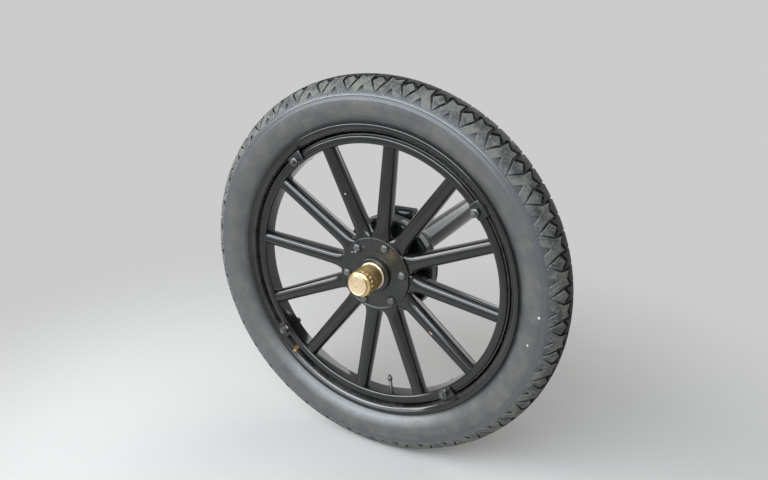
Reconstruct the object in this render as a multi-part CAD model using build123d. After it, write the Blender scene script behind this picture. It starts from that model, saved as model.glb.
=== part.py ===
from build123d import *
import os
from math import degrees, radians, sqrt, tan

# Rear wheel of an antique motor car on the end of its axle, in millimetres.
# The wheel turns about Y. -Y is outward, toward the hub cap; +Y is inboard, toward the car's middle.
# -X is the car's front and +Z is up. While a piece is drawn, y = 0 is the wheel's middle plane.
# save() then moves it outward, so that the origin is the middle of the axle tube's inboard end.

# Whole axle end
wheel_radius = 391.0        # axle to tread
overhang = 600.0            # wheel's middle plane to the tube's inboard end
wheel_clearance = 5.0       # between turning pieces and fixed ones
running_clearance = 0.05    # radial, shaft in its bearing
spoke_count = 12
first_spoke_angle = 22.8    # degrees from +X toward +Z, as the wheel stands at rest
bolt_count = 6
lug_count = 4
cut_beyond = 1.0            # how far a cut passes beyond the piece it goes through
edge_ease = 0.5             # rounding of small turned edges

# Tyre
tyre_height = 85.5          # tread above the rim's lip
tyre_half_width = 48.0
belly_share = 0.462         # of the height, where the side wall is widest
shoulder_share = 0.825      # of the height, where the tread ends
shoulder_width_share = 0.75
crown_fall = 3.5            # tread's fall halfway to the shoulder
tread_thickness = 14.0
tyre_wall = 11.0
bead_thickness = 12.0
bead_flare = 4.0            # inside, from the bead's foot to the lip
bead_gap = 0.4              # between bead and rim base
bead_inset = 1.5
# columns: radius below the rim's top, y inside the rim's half width
bead_side = [
    (7.0, 5.2),
    (3.8, 5.2),
    (1.6, 7.7),
    (-2.0, 3.0),
]

# Rim, one rolled sheet with a hooked lip on each side
tyre_bulge = 15.0           # tyre's side beyond the rim's
rim_height = 16.5           # top of the lip above the inside of the base
rim_flare = 13.0            # lip's side beyond the base's
rim_sheet = 3.0
# columns: radius below the rim's top, y inside the rim's half width, rounding
rim_lip = [
    (8.5, 0.0, 3.0),
    (2.0, 0.0, 2.2),
    (0.0, 3.5, 1.6),
    (1.6, 6.5, 0.6),
    (4.0, 5.0, 1.0),
    (6.5, 3.0, 2.0),
]
rim_base_rounding = 8.0
rim_well_rounding = 5.0
rim_base_slope = 1.5        # base is this much wider inside than outside

# Felloe, the ring on the spokes, and the steel band on it
rim_seat = 8.5              # inside of the rim's base above the felloe
felloe_thickness = 16.5
felloe_front = -23.5
felloe_back = 14.0
felloe_rounding = 5.0
felloe_outer_rounding = 3.0
band_thickness = 2.5
band_front_setback = 4.5
band_flange_width = 4.0
band_flange_sheet = 2.0
band_flange_slope = 4.5

# Spokes
hub_spoke_depth = 38.0      # along Y, between the hub's flanges
hub_spoke_front = -8.5
mitre_end_radius = 78.0     # where neighbouring spokes part
waist_length = 27.0         # from there to where a spoke is plainly oval
waist_width = 32.5
felloe_spoke_depth = 32.0
felloe_spoke_width = 28.5
spoke_roundness = 0.485     # corner radius as a share of the narrower side
mitre_squareness = 0.62     # share of that rounding which is gone at the hub
mitre_gap = 0.2             # between neighbours where the flare starts
waist_slimming = 2.0        # depth lost between hub and waist
# columns: share of the waist's length, share of the flare that is left there
flare_steps = [
    (0.0, 1.0),
    (0.15, 0.62),
    (0.33, 0.34),
    (0.6, 0.14),
    (1.0, 0.0),
]

# Hub
barrel_radius = 36.0
flange_radius = 76.5
plate_thickness = 6.0
plate_field_depth = 1.6     # the plate's field lies this far below its rim
plate_rim_width = 4.0
plate_rim_slope = 1.8
plate_boss_width = 7.0      # level ring round the barrel
plate_boss_slope = 4.0
plate_boss_rounding = 1.0
plate_field_rounding = 3.0
plate_rim_rounding = 1.2
rear_flange_thickness = 6.5
nose_length = 7.5           # barrel's end in front of the plate
thread_radius = 22.5
thread_length = 14.0
bolt_circle_radius = 63.0
bolt_radius = 4.75
bolt_head_radius = 8.5
bolt_head_height = 5.5
bolt_head_doming = 0.72     # rounding as a share of the height
bolt_end = 3.0              # bolt beyond its nut
nut_width = 16.0            # across flats
nut_height = 8.0

# Hub cap
cap_skirt_radius = 28.2
cap_skirt_length = 3.0
cap_skirt_bevel = 1.5
cap_body_radius = 25.5      # just in front of the skirt
cap_belly_radius = 27.0
cap_belly_setback = 7.0     # behind the waist
cap_waist_radius = 26.2     # behind the grip
cap_body_length = 31.0
cap_body_rounding = 6.0
cap_waist_rounding = 1.0
cap_grip_radius = 27.4      # over the rounded corners
cap_grip_flats = 1.92       # width across its six faint flats, as a share of the radius
cap_grip_length = 19.0
cap_grip_slope = 2.0        # grip's back edge starts this far behind its full width
cap_grip_rounding = 1.5
cap_front_rounding = 5.5
cap_face_radius = 20.5
cap_face_height = 5.5
cap_bore_step = 4.0         # thread's radius above the bore's in front of it
cap_end_wall = 4.5

# Lugs that clamp the rim
lug_width = 34.0
lug_plate = 6.0
lug_foot_inset = 2.0        # above the felloe's inner face
lug_bevel = 2.0
lug_brow = 3.0              # where the front starts to fall, above the felloe
lug_nose_rise = 1.0         # tip of the nose above the rim's inside
lug_nose_fall = 3.5
lug_rim_gap = 0.4
lug_wedge_taper = 2.0
lug_band_gap = 0.2
lug_wedge_length = 9.0      # along the band
lug_bolt_radius = 4.75
lug_bolt_inset = 8.0        # bolt above the felloe's inner face
lug_bolt_head_radius = 7.5
lug_bolt_head_height = 5.0
lug_nut_width = 15.0
lug_nut_height = 9.0
lug_bolt_end = 6.0          # bolt beyond its nut

# Valve
valve_angle = 277.8
valve_radius = 3.9
valve_length = 24.0         # from the felloe's inner face toward the hub
valve_cap_radius = 5.0
valve_cap_length = 12.0

# Brake drum
drum_radius = 102.5
drum_wall = 4.0
drum_depth = 30.0
drum_lip = 1.5
drum_lip_width = 4.0
drum_eye_radius = 33.5      # hole in the web
drum_corner_rounding = 5.0
drum_inner_rounding = 3.0

# Axle shaft and its housing
shaft_radius = 13.5
shaft_free_end = 45.0       # beyond the tube's inboard end
shaft_end_radius = 12.5     # turned down where a drive goes on
key_width = 6.0
key_depth = 3.0
key_length = 30.0
tube_radius = 27.5
tube_wall = 5.0
tube_spigot_radius = 26.5   # turned down where it sits in the housing
housing_nose_radius = 24.0
housing_nose_reach = 19.0   # into the drum, from the backing plate's outer face
housing_flange_radius = 58.0
housing_flange_thickness = 9.0
housing_neck_radius = 33.0
housing_neck_foot = 3.5     # neck's radius is this much more at the flange
housing_neck_taper = 40.0
housing_length = 120.0      # from the backing plate's outer face to the collar's end
collar_radius = 36.0
collar_length = 9.0
bearing_length = 60.0
tube_socket_depth = 55.0

# Backing plate of the brake
backing_gap = 2.5           # its edge inside the drum's wall, seen along the axle
backing_sheet = 3.0
backing_edge_depth = 5.0    # its rim turns this far inboard
backing_bolt_circle_radius = 48.0
backing_bolt_count = 4
first_backing_bolt_angle = 45.0
backing_bolt_radius = 4.5
backing_bolt_width = 14.0
backing_bolt_height = 6.0

# Spring perch
perch_eye_height = 95.0     # above the axle
perch_eye_radius = 15.0
perch_bore_radius = 7.1
perch_length = 64.0         # along X
perch_web_width = 40.0      # along X
perch_web_thickness = 16.0
perch_clamp_wall = 14.0     # ring round the housing's neck
perch_clamp_length = 28.0
perch_y_from_plate = 34.0   # from the backing plate's outer face to the eye's axis

# Brake lever
cam_edge_inset = 26.0       # cam's axis behind the backing plate's front edge
cam_z = 34.0
cam_radius = 8.0
cam_boss_radius = 14.0
cam_boss_length = 16.0
lever_length = 84.0
lever_thickness = 7.0
lever_hub_radius = 15.0
lever_end_radius = 10.0
lever_arm_root_width = 24.0
lever_arm_tip_width = 18.0
lever_hole_radius = 4.05
cam_shaft_beyond = 8.0

# Radius rod ear, on the front of the housing
ear_reach = 66.0
ear_radius = 14.0
ear_hole_radius = 6.55
ear_thickness = 12.0
ear_arm_width = 19.2
ear_y_from_plate = 76.0

# Places that follow from the sizes above
rim_radius = wheel_radius - tyre_height
rim_half_width = tyre_half_width - tyre_bulge
rim_base_radius = rim_radius - rim_height
rim_base_half_width = rim_half_width - rim_flare
felloe_outer_radius = rim_base_radius - rim_seat
felloe_inner_radius = felloe_outer_radius - felloe_thickness
lug_bolt_circle_radius = felloe_inner_radius + lug_bolt_inset
hub_spoke_back = hub_spoke_front + hub_spoke_depth
hub_spoke_middle = (hub_spoke_front + hub_spoke_back) / 2
felloe_middle = (felloe_front + felloe_back) / 2
plate_front = hub_spoke_front - plate_thickness
nose_front = plate_front - nose_length
thread_front = nose_front - thread_length
flange_back = hub_spoke_back + rear_flange_thickness
drum_open_end = flange_back + drum_depth
backing_front = drum_open_end + wheel_clearance
housing_end = backing_front + housing_length
backing_radius = drum_radius - drum_wall - backing_gap
cam_x = cam_edge_inset - backing_radius
spoke_step = 360.0 / spoke_count
mitre_angle = first_spoke_angle - spoke_step / 2
nose_bore_radius = shaft_radius + running_clearance
bolt_angles = [mitre_angle + 360.0 / bolt_count * k for k in range(bolt_count)]
lug_angles = [mitre_angle + spoke_step + 360.0 / lug_count * k for k in range(lug_count)]
spoke_angles = [first_spoke_angle + spoke_step * k for k in range(spoke_count)]
backing_step = 360.0 / backing_bolt_count
backing_bolt_angles = [first_backing_bolt_angle + backing_step * k for k in range(backing_bolt_count)]

outward = (0, -1, 0)
inward = (0, 1, 0)


def save(name, shape):
    """Write one piece, moved to the origin on the axle tube."""
    export_step(Pos(0, -overhang, 0) * shape, os.path.join("parts", name + ".step"))


def ring(corners):
    """Solid of revolution about the axle from (radius, y) corners."""
    return revolve(make_face(Polyline(*corners, close=True)), Axis.Y)


def rounded_ring(corners):
    """Solid of revolution about the axle from (radius, y, rounding) corners."""
    places = [(r, y) for r, y, rounding in corners]
    radii = [rounding for r, y, rounding in corners]
    return revolve(make_face(FilletPolyline(*places, radius=radii, close=True)), Axis.Y)


def rod(radius, low, high, x=0.0, z=0.0):
    """Round bar along Y from low to high."""
    return Pos(x, (low + high) / 2, z) * Rot(90, 0, 0) * Cylinder(radius, high - low)


def spot(radius, angle, y):
    """Place at a radius and an angle from +X toward +Z, with the local X pointing away from the axle."""
    return Rot(0, -angle, 0) * Pos(radius, y, 0)


def hexagon_bar(width, low, high):
    """Six-sided bar along Y, width across its flats."""
    flat = Plane(origin=(0, low, 0), x_dir=(1, 0, 0), z_dir=inward)
    return extrude(flat * RegularPolygon(width / sqrt(3), 6), high - low)


def radial_pin(radius, low, high, angle):
    """Round bar that points away from the axle in the felloe's middle, between two distances from it."""
    return spot((low + high) / 2, angle, felloe_middle) * Rot(0, 90, 0) * Cylinder(radius, high - low)


def valve_hole(low, high):
    """What the valve's stem takes out of a ring between two radii."""
    return radial_pin(valve_radius, low - cut_beyond, high + cut_beyond, valve_angle)


def make_tyre():
    bead_low = rim_base_radius + rim_sheet + bead_gap
    bead_edge = rim_base_half_width - bead_inset
    bead_inner = bead_edge - bead_thickness
    side = [(rim_radius - below, rim_half_width - inside) for below, inside in bead_side]
    belly_radius = rim_radius + tyre_height * belly_share
    shoulder = (rim_radius + tyre_height * shoulder_share, tyre_half_width * shoulder_width_share)
    crown_side = (wheel_radius - crown_fall, tyre_half_width * shoulder_width_share / 2)
    crown = (wheel_radius, 0)
    foot = (bead_low, bead_inner)
    inner_crown = (wheel_radius - tread_thickness, 0)
    inner_belly = (belly_radius, tyre_half_width - tyre_wall)
    inner_foot = (rim_radius, bead_inner + bead_flare)
    half = make_face(
        Polyline(foot, (bead_low, bead_edge), *side)
        + ThreePointArc(side[-1], (belly_radius, tyre_half_width), shoulder)
        + ThreePointArc(shoulder, crown_side, crown)
        + Line(crown, inner_crown)
        + ThreePointArc(inner_crown, inner_belly, inner_foot)
        + Line(inner_foot, foot)
    )
    return revolve(half + mirror(half, Plane.XZ), Axis.Y)


def make_rim():
    """Rolled rim with the hole that the valve's stem passes through."""
    outside = (rim_base_radius, rim_base_half_width + rim_base_slope / 2, rim_base_rounding)
    inside = (rim_base_radius + rim_sheet, rim_base_half_width - rim_base_slope / 2, rim_well_rounding)
    lip = [(rim_radius - below, rim_half_width - inset, rounding) for below, inset, rounding in rim_lip]
    one_side = [outside] + lip + [inside]
    other_side = [(r, -y, rounding) for r, y, rounding in reversed(one_side)]
    return rounded_ring(one_side + other_side) - valve_hole(rim_base_radius, rim_base_radius + rim_sheet)


def make_felloe():
    felloe = rounded_ring([
        (felloe_inner_radius, felloe_front, felloe_rounding),
        (felloe_outer_radius, felloe_front, felloe_outer_rounding),
        (felloe_outer_radius, felloe_back, felloe_outer_rounding),
        (felloe_inner_radius, felloe_back, felloe_rounding),
    ])
    felloe -= valve_hole(felloe_inner_radius, felloe_outer_radius)
    for angle in lug_angles:
        felloe -= spot(lug_bolt_circle_radius, angle, 0) * rod(lug_bolt_radius, felloe_front, felloe_back)
    return felloe


def make_felloe_band():
    low = felloe_outer_radius
    high = low + band_thickness
    front = felloe_front + band_front_setback
    back = felloe_back + band_flange_width
    flange_front = back - band_flange_sheet
    band = ring([
        (low, front),
        (high, front),
        (high, flange_front - band_flange_slope),
        (rim_base_radius, flange_front),
        (rim_base_radius, back),
        (low, back),
    ])
    return band - valve_hole(low, high)


def spoke_section(radius, y, depth, width, rounding):
    """Rounded section across a spoke that points along X."""
    across = Plane(origin=(radius, y, 0), x_dir=(0, 1, 0), z_dir=(1, 0, 0))
    return across * RectangleRounded(depth, width, rounding)


def make_spoke(angle):
    lean = (felloe_middle - hub_spoke_middle) / (felloe_inner_radius - mitre_end_radius)
    mitre_width = 2 * mitre_end_radius * tan(radians(spoke_step / 2))
    flare = mitre_width - mitre_gap - waist_width
    faces = []
    for length_share, share in flare_steps:
        distance = waist_length * length_share
        y = hub_spoke_middle + lean * distance
        width = waist_width + flare * share
        depth = hub_spoke_depth - waist_slimming * (1 - share)
        rounding = spoke_roundness * min(width, depth) * (1 - mitre_squareness * share)
        faces.append(spoke_section(mitre_end_radius + distance, y, depth, width, rounding))
    end = Plane(origin=(felloe_inner_radius, felloe_middle, 0), x_dir=(0, 1, 0), z_dir=(1, 0, 0))
    end_rounding = spoke_roundness * felloe_spoke_width
    faces.append(end * RectangleRounded(felloe_spoke_depth, felloe_spoke_width, end_rounding))
    blade = loft(faces, ruled=True)
    half = mitre_width / 2
    wedge_face = make_face(Polyline((0, 0), (mitre_end_radius, -half), (mitre_end_radius, half), close=True))
    wedge_plane = Plane(origin=(0, hub_spoke_front, 0), x_dir=(1, 0, 0), z_dir=inward)
    wedge = extrude(wedge_plane * wedge_face, hub_spoke_depth)
    spoke = Rot(0, -angle, 0) * (wedge + blade)
    spoke &= rod(felloe_inner_radius, felloe_front, hub_spoke_back)
    spoke -= rod(barrel_radius, hub_spoke_front, hub_spoke_back)
    for bolt_angle in bolt_angles:
        spoke -= spot(bolt_circle_radius, bolt_angle, 0) * rod(bolt_radius, hub_spoke_front, hub_spoke_back)
    return spoke


def make_hub():
    corners = [
        (shaft_radius, thread_front),
        (thread_radius, thread_front),
        (thread_radius, nose_front),
        (barrel_radius, nose_front),
        (barrel_radius, hub_spoke_back),
        (flange_radius, hub_spoke_back),
        (flange_radius, flange_back),
        (shaft_radius, flange_back),
    ]
    hub = ring(corners)
    for angle in bolt_angles:
        hub -= spot(bolt_circle_radius, angle, 0) * rod(bolt_radius, hub_spoke_back, flange_back)
    return hub


def make_hub_plate():
    field = plate_front + plate_field_depth
    boss_edge = barrel_radius + plate_boss_width
    rim_foot = flange_radius - plate_rim_width
    plate = rounded_ring([
        (barrel_radius, plate_front, edge_ease),
        (boss_edge, plate_front, plate_boss_rounding),
        (boss_edge + plate_boss_slope, field, plate_field_rounding),
        (rim_foot, field, plate_rim_rounding),
        (rim_foot + plate_rim_slope, plate_front, edge_ease),
        (flange_radius, plate_front, edge_ease),
        (flange_radius, hub_spoke_front, edge_ease),
        (barrel_radius, hub_spoke_front, edge_ease),
    ])
    for angle in bolt_angles:
        plate -= spot(bolt_circle_radius, angle, 0) * rod(bolt_radius, plate_front, hub_spoke_front)
    return plate


def make_hub_bolt(angle):
    field = plate_front + plate_field_depth
    head_front = field - bolt_head_height
    end = flange_back + drum_wall + nut_height + bolt_end
    bolt = rod(bolt_head_radius, head_front, field) + rod(bolt_radius, field, end)
    top = bolt.edges().group_by(Axis.Y)[0]
    return spot(bolt_circle_radius, angle, 0) * fillet(top, bolt_head_height * bolt_head_doming)


def make_hub_nut(angle):
    low = flange_back + drum_wall
    nut = hexagon_bar(nut_width, low, low + nut_height) - rod(bolt_radius, low, low + nut_height)
    return spot(bolt_circle_radius, angle, 0) * nut


def make_drum():
    web_back = flange_back + drum_wall
    lip_front = drum_open_end - drum_lip_width
    drum = rounded_ring([
        (drum_eye_radius, flange_back, edge_ease),
        (drum_radius, flange_back, drum_corner_rounding),
        (drum_radius, lip_front, edge_ease),
        (drum_radius + drum_lip, lip_front, edge_ease),
        (drum_radius + drum_lip, drum_open_end, edge_ease),
        (drum_radius - drum_wall, drum_open_end, edge_ease),
        (drum_radius - drum_wall, web_back, drum_inner_rounding),
        (drum_eye_radius, web_back, edge_ease),
    ])
    for angle in bolt_angles:
        drum -= spot(bolt_circle_radius, angle, 0) * rod(bolt_radius, flange_back, web_back)
    return drum


def make_hub_cap():
    skirt_front = nose_front - cap_skirt_length
    body_front = skirt_front - cap_body_length
    grip_front = body_front - cap_grip_length
    face_front = grip_front - cap_face_height
    bore_front = grip_front + cap_end_wall
    bore_radius = thread_radius - cap_bore_step
    cap = rounded_ring([
        (thread_radius, nose_front, edge_ease),
        (cap_skirt_radius, nose_front, edge_ease),
        (cap_skirt_radius, skirt_front, edge_ease),
        (cap_body_radius, skirt_front - cap_skirt_bevel, edge_ease),
        (cap_belly_radius, body_front + cap_belly_setback, cap_body_rounding),
        (cap_waist_radius, body_front, cap_waist_rounding),
        (cap_grip_radius, body_front - cap_grip_slope, cap_grip_rounding),
        (cap_grip_radius, grip_front, cap_front_rounding),
        (cap_face_radius, grip_front, edge_ease),
        (cap_face_radius, face_front, edge_ease),
        (bore_radius, face_front, edge_ease),
        (bore_radius, thread_front, edge_ease),
        (thread_radius, thread_front, edge_ease),
    ])
    cap += rod(bore_radius + edge_ease, face_front, bore_front)
    corners = rod(cap_grip_radius, grip_front, body_front)
    return cap - (corners - hexagon_bar(cap_grip_radius * cap_grip_flats, grip_front, body_front))


def make_lug(angle):
    """Plate on the felloe's front with a wedge that reaches under the rim."""
    foot = felloe_inner_radius + lug_foot_inset
    front = felloe_front - lug_plate
    wedge_low = felloe_outer_radius + band_thickness + lug_band_gap
    wedge_tip = felloe_front + band_front_setback + lug_wedge_length
    seat = rim_base_radius - lug_rim_gap
    corners = [
        (foot, front + lug_bevel),
        (foot + lug_bevel, front),
        (felloe_outer_radius + lug_brow, front),
        (rim_base_radius + lug_nose_rise, front + lug_nose_fall),
        (seat, -rim_base_half_width),
        (seat - lug_wedge_taper, wedge_tip),
        (wedge_low, wedge_tip),
        (wedge_low, felloe_front),
        (foot, felloe_front),
    ]
    turn = degrees(lug_width / felloe_outer_radius)
    body = revolve(make_face(Polyline(*corners, close=True)), Axis.Y, turn)
    hole = spot(lug_bolt_circle_radius, angle, 0) * rod(lug_bolt_radius, front, felloe_front)
    return Rot(0, -angle - turn / 2, 0) * body - hole


def make_lug_bolt(angle):
    head_back = felloe_back + lug_bolt_head_height
    front = felloe_front - lug_plate - lug_nut_height - lug_bolt_end
    bolt = rod(lug_bolt_radius, front, felloe_back) + rod(lug_bolt_head_radius, felloe_back, head_back)
    return spot(lug_bolt_circle_radius, angle, 0) * bolt


def make_lug_nut(angle):
    back = felloe_front - lug_plate
    front = back - lug_nut_height
    nut = hexagon_bar(lug_nut_width, front, back) - rod(lug_bolt_radius, front, back)
    return spot(lug_bolt_circle_radius, angle, 0) * nut


def make_valve():
    low = felloe_inner_radius - valve_length
    return radial_pin(valve_radius, low, rim_base_radius + rim_sheet, valve_angle)


def make_valve_cap():
    top = felloe_inner_radius - valve_length
    return radial_pin(valve_cap_radius, top - valve_cap_length, top, valve_angle)


def make_axle_shaft():
    tip = overhang + shaft_free_end
    shaft = rod(shaft_radius, thread_front, overhang) + rod(shaft_end_radius, overhang, tip)
    keyway = Box(key_width, key_length, key_depth * 2)
    return shaft - Pos(0, tip - key_length / 2, shaft_end_radius) * keyway


def housing_outside():
    """Outside of the housing from its flange to its collar, as (radius, y) corners."""
    flange_front = backing_front + backing_sheet
    neck_front = flange_front + housing_flange_thickness
    return [
        (housing_flange_radius, flange_front),
        (housing_flange_radius, neck_front),
        (housing_neck_radius + housing_neck_foot, neck_front),
        (housing_neck_radius, neck_front + housing_neck_taper),
        (housing_neck_radius, housing_end - collar_length),
        (collar_radius, housing_end - collar_length),
        (collar_radius, housing_end),
    ]


def cut_housing(shape):
    """Take the housing's room out of what sits round it."""
    flange_front = backing_front + backing_sheet
    return shape - ring([(0, flange_front)] + housing_outside() + [(0, housing_end)])


def make_housing_end():
    bearing_front = backing_front - housing_nose_reach
    bearing_end = bearing_front + bearing_length
    flange_front = backing_front + backing_sheet
    socket = housing_end - tube_socket_depth
    inner_corners = [
        (tube_spigot_radius, housing_end),
        (tube_spigot_radius, socket),
        (tube_radius - tube_wall, socket),
        (tube_radius - tube_wall, bearing_end),
        (nose_bore_radius, bearing_end),
        (nose_bore_radius, bearing_front),
        (housing_nose_radius, bearing_front),
        (housing_nose_radius, flange_front),
    ]
    housing = ring(housing_outside() + inner_corners)
    hole = rod(backing_bolt_radius, flange_front, flange_front + housing_flange_thickness)
    for angle in backing_bolt_angles:
        housing -= spot(backing_bolt_circle_radius, angle, 0) * hole
    return housing


def make_axle_tube():
    low = housing_end - tube_socket_depth
    outside = rod(tube_spigot_radius, low, housing_end) + rod(tube_radius, housing_end, overhang)
    return outside - rod(tube_radius - tube_wall, low, overhang)


def make_backing_plate():
    edge = backing_front + backing_edge_depth
    corners = [
        (housing_nose_radius, backing_front),
        (backing_radius, backing_front),
        (backing_radius, edge),
        (backing_radius - backing_sheet, edge),
        (backing_radius - backing_sheet, backing_front + backing_sheet),
        (housing_nose_radius, backing_front + backing_sheet),
    ]
    plate = ring(corners)
    for angle in backing_bolt_angles:
        hole = rod(backing_bolt_radius, backing_front, edge)
        plate -= spot(backing_bolt_circle_radius, angle, 0) * hole
    return plate - rod(cam_radius, backing_front, edge, cam_x, cam_z)


def make_backing_bolt(angle):
    back = backing_front + backing_sheet + housing_flange_thickness
    shank = rod(backing_bolt_radius, backing_front, back)
    head = hexagon_bar(backing_bolt_width, back, back + backing_bolt_height)
    return spot(backing_bolt_circle_radius, angle, 0) * (shank + head)


def make_spring_perch():
    """Ring round the housing's neck and a web up to an eye whose bore runs along X."""
    y = backing_front + perch_y_from_plate
    at_eye = Pos(0, y, perch_eye_height) * Rot(0, 90, 0)
    web = Pos(0, y, perch_eye_height / 2) * Box(perch_web_width, perch_web_thickness, perch_eye_height)
    clamp_radius = housing_neck_radius + perch_clamp_wall
    clamp = rod(clamp_radius, y - perch_clamp_length / 2, y + perch_clamp_length / 2)
    perch = at_eye * Cylinder(perch_eye_radius, perch_length) + web + clamp
    return cut_housing(perch - at_eye * Cylinder(perch_bore_radius, perch_length))


def make_cam_shaft():
    low = backing_front
    high = backing_front + backing_edge_depth + cam_boss_length + lever_thickness + cam_shaft_beyond
    return rod(cam_radius, low, high, cam_x, cam_z)


def make_cam_boss():
    low = backing_front + backing_sheet
    high = backing_front + backing_edge_depth + cam_boss_length
    boss = rod(cam_boss_radius, low, high, cam_x, cam_z)
    return boss - rod(cam_radius, low, high, cam_x, cam_z)


def make_brake_lever():
    low = backing_front + backing_edge_depth + cam_boss_length
    high = low + lever_thickness
    hub_end = rod(lever_hub_radius, low, high, cam_x, cam_z)
    far_end = rod(lever_end_radius, low, high, cam_x, cam_z - lever_length)
    arm_face = make_face(
        Polyline(
            (-lever_arm_root_width / 2, 0),
            (-lever_arm_tip_width / 2, -lever_length),
            (lever_arm_tip_width / 2, -lever_length),
            (lever_arm_root_width / 2, 0),
            close=True,
        )
    )
    arm_plane = Plane(origin=(cam_x, high, cam_z), x_dir=(1, 0, 0), z_dir=outward)
    arm = extrude(arm_plane * arm_face, lever_thickness)
    lever = hub_end + far_end + arm
    lever -= rod(cam_radius, low, high, cam_x, cam_z)
    return lever - rod(lever_hole_radius, low, high, cam_x, cam_z - lever_length)


def make_radius_rod_ear():
    y = backing_front + ear_y_from_plate
    arm = Pos(-ear_reach / 2, y, 0) * Box(ear_reach, ear_arm_width, ear_thickness)
    eye = Pos(-ear_reach, y, 0) * Cylinder(ear_radius, ear_thickness)
    hole = Pos(-ear_reach, y, 0) * Cylinder(ear_hole_radius, ear_thickness)
    return cut_housing(arm + eye - hole)


os.makedirs("parts", exist_ok=True)
save("tyre", make_tyre())
save("rim", make_rim())
save("felloe", make_felloe())
save("felloe_band", make_felloe_band())
for number, angle in enumerate(spoke_angles, start=1):
    save(f"spoke_{number:02d}", make_spoke(angle))
save("hub", make_hub())
save("hub_plate", make_hub_plate())
for number, angle in enumerate(bolt_angles, start=1):
    save(f"hub_bolt_{number}", make_hub_bolt(angle))
    save(f"hub_nut_{number}", make_hub_nut(angle))
save("hub_cap", make_hub_cap())
save("brake_drum", make_drum())
for number, angle in enumerate(lug_angles, start=1):
    save(f"rim_lug_{number}", make_lug(angle))
    save(f"lug_bolt_{number}", make_lug_bolt(angle))
    save(f"lug_nut_{number}", make_lug_nut(angle))
save("valve_stem", make_valve())
save("valve_cap", make_valve_cap())
save("axle_shaft", make_axle_shaft())

save("axle_tube", make_axle_tube())
save("housing_end", make_housing_end())
save("backing_plate", make_backing_plate())
for number, angle in enumerate(backing_bolt_angles, start=1):
    save(f"backing_bolt_{number}", make_backing_bolt(angle))
save("spring_perch", make_spring_perch())
save("brake_cam_shaft", make_cam_shaft())
save("brake_cam_boss", make_cam_boss())
save("brake_lever", make_brake_lever())
save("radius_rod_ear", make_radius_rod_ear())
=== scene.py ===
from math import atan2, cos, pi, radians, sin, tau

import bmesh
import bpy
from mathutils import Matrix, Vector


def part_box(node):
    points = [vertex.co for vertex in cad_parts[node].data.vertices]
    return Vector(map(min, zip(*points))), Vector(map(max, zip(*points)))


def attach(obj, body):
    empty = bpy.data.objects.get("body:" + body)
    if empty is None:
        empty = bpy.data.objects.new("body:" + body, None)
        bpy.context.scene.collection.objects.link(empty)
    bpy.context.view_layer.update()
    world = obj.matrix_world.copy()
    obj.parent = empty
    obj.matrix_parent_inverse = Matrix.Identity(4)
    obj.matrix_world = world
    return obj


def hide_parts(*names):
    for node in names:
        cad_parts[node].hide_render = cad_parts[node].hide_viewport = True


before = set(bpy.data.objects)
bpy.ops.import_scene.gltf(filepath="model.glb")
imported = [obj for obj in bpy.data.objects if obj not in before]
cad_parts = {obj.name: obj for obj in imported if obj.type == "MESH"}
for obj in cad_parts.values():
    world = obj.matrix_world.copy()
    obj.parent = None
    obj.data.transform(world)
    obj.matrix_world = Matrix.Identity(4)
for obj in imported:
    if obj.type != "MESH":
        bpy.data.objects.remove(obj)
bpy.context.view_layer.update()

bl_info = {
    "name": "Antique Car Wheel on Its Axle End",
    "version": (1, 0, 0),
    "blender": (4, 5, 0),
    "location": "View3D > Sidebar > Car Wheel",
    "description": "Dresses the packed wheel and axle end with its tyre tread, paint, brass and steel",
    "category": "Add Mesh",
}

# Shapes are drawn in millimetres round the wheel's centre, and moved into the frame as they become objects.
# The wheel turns about Y, -Y is outward and an angle runs from +X toward +Z.
# A length under NEAR counts as none.
METRE = 1000.0
tyre_low, tyre_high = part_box("tyre")
WHEEL_CENTRE = Vector((0.0, (tyre_low[1] + tyre_high[1]) / 2, 0.0))
TO_FRAME = Matrix.Translation(WHEEL_CENTRE) @ Matrix.Scale(1.0 / METRE, 4)
TYRE_RADIUS = tyre_high[2] * METRE
NEAR = 1e-4

SPOKES = 12
FIRST_SPOKE = 22.8
SPOKE_STEP = 360.0 / SPOKES
HUB_BOLTS = 6
LUGS = 4
FIRST_BOLT = FIRST_SPOKE - SPOKE_STEP / 2
FIRST_LUG = FIRST_SPOKE + SPOKE_STEP / 2
BOLT_CIRCLE = 63.0
LUG_CIRCLE = 272.0
FELLOE_INSIDE = 264.0
FELLOE_OUTSIDE = 280.5
FELLOE_MIDDLE = -4.75


# Sizes and colours a user would change

class WheelTyreSettings(bpy.types.PropertyGroup):
    groove_depth: bpy.props.FloatProperty(
        name="Groove Depth", description="Depth of the tread grooves at the crown",
        default=0.0052, unit="LENGTH")
    block_chamfer: bpy.props.FloatProperty(
        name="Block Chamfer", description="Worn edge of each tread block",
        default=0.0009, unit="LENGTH")
    pitches: bpy.props.IntProperty(
        name="Pitches", description="How often the tread pattern repeats round the tyre",
        default=40, min=8, max=80)
    rubber: bpy.props.FloatVectorProperty(
        name="Rubber", description="Colour of the side walls",
        default=(0.066, 0.0672, 0.0685), subtype="COLOR")
    road_dust: bpy.props.FloatVectorProperty(
        name="Road Dust", description="Dust on the tread blocks",
        default=(0.165, 0.160, 0.135), subtype="COLOR")


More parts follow.
